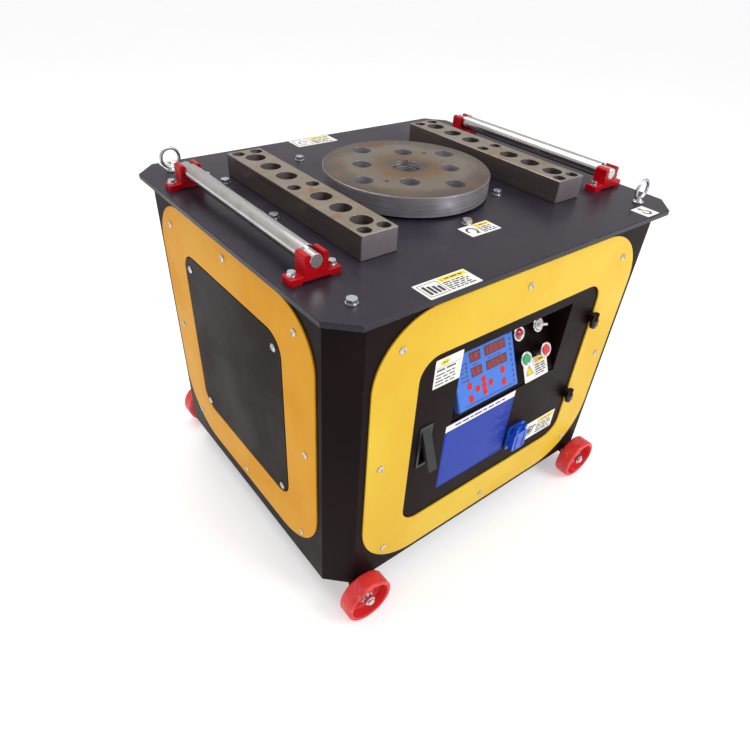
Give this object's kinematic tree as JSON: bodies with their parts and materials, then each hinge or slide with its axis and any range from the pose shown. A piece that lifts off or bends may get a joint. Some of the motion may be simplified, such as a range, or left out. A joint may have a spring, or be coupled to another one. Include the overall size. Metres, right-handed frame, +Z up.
{
  "type": "rebar bender",
  "caption": "Table-top rebar bending machine: octagonal cabinet on four wheels, turning pin disc, two pin bars, two feed rollers and a hinged control door.",
  "frame": {"origin": "on the floor under the middle of the machine", "axes": "+Z up, control door facing -Y, feed rollers and pin bars running along Y on the -X and +X sides"},
  "size_m": [0.888, 0.833, 0.8068],
  "materials": {
    "table_black": "satin",
    "cabinet_black": "satin",
    "trim_yellow": "semi-gloss",
    "machined_steel": "oiled",
    "bright_steel": "polished",
    "zinc": "zinc plated",
    "bracket_red": "satin",
    "wheel_red": "satin",
    "gear_steel": "oiled",
    "cast_grey": "painted",
    "motor_blue": "satin",
    "core_steel": "varnished",
    "belt_rubber": "matte",
    "panel_zinc": "plated",
    "black_plastic": "matte",
    "controller_blue": "satin",
    "start_green": "gloss",
    "stop_red": "gloss",
    "lens_red": "gloss",
    "socket_blue": "satin"
  },
  "bodies": {
    "cabinet": {"ball_bearings": "gear_steel", "base_pan": "cabinet_black", "cable_gland": "black_plastic", "drive_belts": "belt_rubber", "electrical_panel": "panel_zinc", "eyebolt_front_right": "zinc", "eyebolt_rear_left": "zinc", "frame_knuckles": "black_plastic", "front_panel": "cabinet_black", "front_trim_ring": "trim_yellow", "gearbox_cover": "cast_grey", "gearbox_housing": "cast_grey", "left_cover": "cabinet_black", "left_pin_bar": "machined_steel", "left_side_sheet": "cabinet_black", "motor_housing": "motor_blue", "motor_stand": "cabinet_black", "panel_screws": "zinc", "pin_bar_screws": "zinc", "rear_cover": "cabinet_black", "rear_panel": "cabinet_black", "right_cover": "cabinet_black", "right_pin_bar": "machined_steel", "right_side_sheet": "cabinet_black", "roller_bracket_left_front": "bracket_red", "roller_bracket_left_rear": "bracket_red", "roller_bracket_right_front": "bracket_red", "roller_bracket_right_rear": "bracket_red", "side_and_rear_trim_rings": "trim_yellow", "stator_core": "core_steel", "table_bolts": "zinc", "table_plate": "table_black", "wheel_axles": "zinc"},
    "bending_spindle": {"bending_disc": "machined_steel", "main_shaft": "gear_steel", "output_gear": "gear_steel"},
    "intermediate_shaft_set": {"intermediate_shaft": "gear_steel", "intermediate_gear": "gear_steel"},
    "input_shaft_set": {"input_shaft": "gear_steel", "input_pulley": "cast_grey"},
    "motor_rotor": {"rotor_shaft": "gear_steel", "motor_pulley": "cast_grey"},
    "left_feed_roller": {"left_roller": "bright_steel"},
    "right_feed_roller": {"right_roller": "bright_steel"},
    "front_door": {"control_door": "cabinet_black", "console_tray": "cabinet_black", "controller_box": "controller_blue", "console_controls": "black_plastic", "indicator_lens": "lens_red", "door_lock": "black_plastic", "socket_body": "socket_blue"},
    "start_cap": {"start_button": "start_green"},
    "stop_cap": {"stop_button": "stop_red"},
    "key_selector": {"selector_lever": "black_plastic"},
    "door_handle": {"lock_handle": "black_plastic"},
    "socket_lid": {"socket_cap": "socket_blue"},
    "wheel_front_left_body": {"wheel_front_left": "wheel_red"},
    "wheel_front_right_body": {"wheel_front_right": "wheel_red"},
    "wheel_rear_left_body": {"wheel_rear_left": "wheel_red"},
    "wheel_rear_right_body": {"wheel_rear_right": "wheel_red"}
  },
  "joints": [
    {"name": "disc_turn", "type": "hinge", "parent": "cabinet", "child": "bending_spindle", "pos_m": [0, 0, 0.721], "axis": [0, 0, 1], "continuous": true},
    {"name": "intermediate_turn", "type": "hinge", "parent": "cabinet", "child": "intermediate_shaft_set", "pos_m": [-0.16625, 0, 0.661], "axis": [0, 0, 1], "continuous": true},
    {"name": "input_turn", "type": "hinge", "parent": "cabinet", "child": "input_shaft_set", "pos_m": [-0.16625, 0.1425, 0.621], "axis": [0, 0, 1], "continuous": true},
    {"name": "motor_turn", "type": "hinge", "parent": "cabinet", "child": "motor_rotor", "pos_m": [0.16, 0.215, 0.371], "axis": [0, 0, 1], "continuous": true},
    {"name": "left_roller_turn", "type": "hinge", "parent": "cabinet", "child": "left_feed_roller", "pos_m": [-0.381, 0, 0.789], "axis": [0, 1, 0], "continuous": true},
    {"name": "right_roller_turn", "type": "hinge", "parent": "cabinet", "child": "right_feed_roller", "pos_m": [0.389, 0, 0.789], "axis": [0, 1, 0], "continuous": true},
    {"name": "wheel_front_left_turn", "type": "hinge", "parent": "cabinet", "child": "wheel_front_left_body", "pos_m": [-0.3655, -0.3935, 0.056], "axis": [0, 1, 0], "continuous": true},
    {"name": "wheel_front_right_turn", "type": "hinge", "parent": "cabinet", "child": "wheel_front_right_body", "pos_m": [0.3655, -0.3935, 0.056], "axis": [0, 1, 0], "continuous": true},
    {"name": "wheel_rear_left_turn", "type": "hinge", "parent": "cabinet", "child": "wheel_rear_left_body", "pos_m": [-0.3655, 0.3935, 0.056], "axis": [0, 1, 0], "continuous": true},
    {"name": "wheel_rear_right_turn", "type": "hinge", "parent": "cabinet", "child": "wheel_rear_right_body", "pos_m": [0.3655, 0.3935, 0.056], "axis": [0, 1, 0], "continuous": true},
    {"name": "door_swing", "type": "hinge", "parent": "cabinet", "child": "front_door", "pos_m": [0.2575, -0.377, 0.4235], "axis": [0, 0, 1], "range_deg": [0, 105]},
    {"name": "handle_swing", "type": "hinge", "parent": "front_door", "child": "door_handle", "pos_m": [-0.22, -0.365, 0.451], "axis": [1, 0, 0], "range_deg": [-21, 18]},
    {"name": "socket_lid_swing", "type": "hinge", "parent": "front_door", "child": "socket_lid", "pos_m": [0.08, -0.379, 0.301], "axis": [1, 0, 0], "range_deg": [-100, 0], "stiffness_Nm_per_rad": 0.01, "springref_deg": 17.19},
    {"name": "selector_turn", "type": "hinge", "parent": "front_door", "child": "key_selector", "pos_m": [0.122, -0.32654, 0.54221], "axis": [0, -0.9205, 0.3907], "range_deg": [-90, 0]},
    {"name": "start_press", "type": "slide", "parent": "front_door", "child": "start_cap", "axis": [0, 0.9205, -0.3907], "range_m": [0, 0.004], "stiffness_N_per_m": 400},
    {"name": "stop_press", "type": "slide", "parent": "front_door", "child": "stop_cap", "axis": [0, 0.9205, -0.3907], "range_m": [0, 0.004], "stiffness_N_per_m": 400}
  ],
  "couplings": [
    {"joint": "intermediate_turn", "follows": "disc_turn", "ratio": -5.3333},
    {"joint": "input_turn", "follows": "disc_turn", "ratio": 28.444},
    {"joint": "motor_turn", "follows": "disc_turn", "ratio": 85.333}
  ]
}
